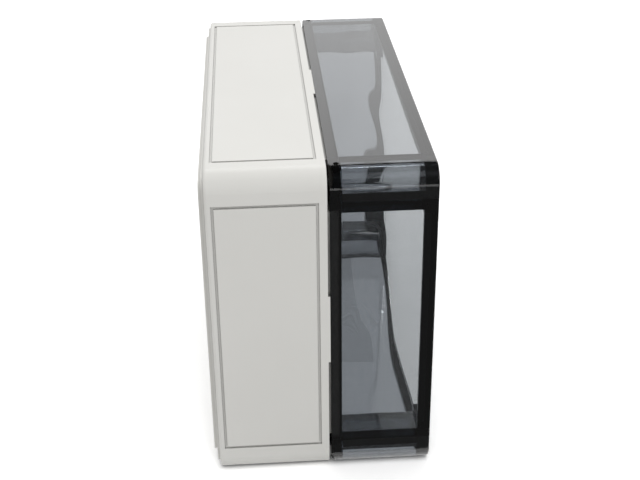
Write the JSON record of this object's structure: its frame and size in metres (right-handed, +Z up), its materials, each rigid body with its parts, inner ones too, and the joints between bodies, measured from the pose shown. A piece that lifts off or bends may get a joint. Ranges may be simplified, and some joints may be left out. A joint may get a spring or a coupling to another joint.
{
  "type": "wall-mounted din rail enclosure",
  "caption": "Rectangular wall-mounted enclosure with a light grey base, an inner top-hat rail and a deep smoked transparent lid on captive corner screws.",
  "frame": {"origin": "on the standing surface, under the middle of the box", "axes": "+X along the width, +Y towards the wall side, +Z up along the height; the lid faces -Y"},
  "size_m": [0.254, 0.1186, 0.18],
  "materials": {
    "housing_grey": "fine moulded satin",
    "smoked_lid": "clear smoked, polished",
    "seal_black": "foamed seal",
    "screw_dark": "dark moulded",
    "ring_black": "smooth",
    "rail_zinc": "zinc plated",
    "rail_screw_zinc": "zinc plated"
  },
  "bodies": {
    "base": {"base_housing": "housing_grey", "din_rail": "rail_zinc", "rail_screw_left": "rail_screw_zinc", "rail_screw_right": "rail_screw_zinc"},
    "lid": {"lid": "smoked_lid", "lid_gasket": "seal_black"},
    "lid_screw_1": {"lid_screw_1": "screw_dark", "screw_ring_1": "ring_black"},
    "lid_screw_2": {"lid_screw_2": "screw_dark", "screw_ring_2": "ring_black"},
    "lid_screw_3": {"lid_screw_3": "screw_dark", "screw_ring_3": "ring_black"},
    "lid_screw_4": {"lid_screw_4": "screw_dark", "screw_ring_4": "ring_black"}
  },
  "joints": [
    {"name": "lid_lift", "type": "slide", "parent": "base", "child": "lid", "axis": [0, -1, 0], "range_m": [0, 0.12]},
    {"name": "lid_screw_1_turn", "type": "hinge", "parent": "lid", "child": "lid_screw_1", "pos_m": [-0.117, -0.00575, 0.17], "axis": [0, -1, 0], "range_deg": [0, 990]},
    {"name": "lid_screw_2_turn", "type": "hinge", "parent": "lid", "child": "lid_screw_2", "pos_m": [0.117, -0.00575, 0.17], "axis": [0, -1, 0], "range_deg": [0, 990]},
    {"name": "lid_screw_3_turn", "type": "hinge", "parent": "lid", "child": "lid_screw_3", "pos_m": [0.117, -0.00575, 0.01], "axis": [0, -1, 0], "range_deg": [0, 990]},
    {"name": "lid_screw_4_turn", "type": "hinge", "parent": "lid", "child": "lid_screw_4", "pos_m": [-0.117, -0.00575, 0.01], "axis": [0, -1, 0], "range_deg": [0, 990]}
  ]
}
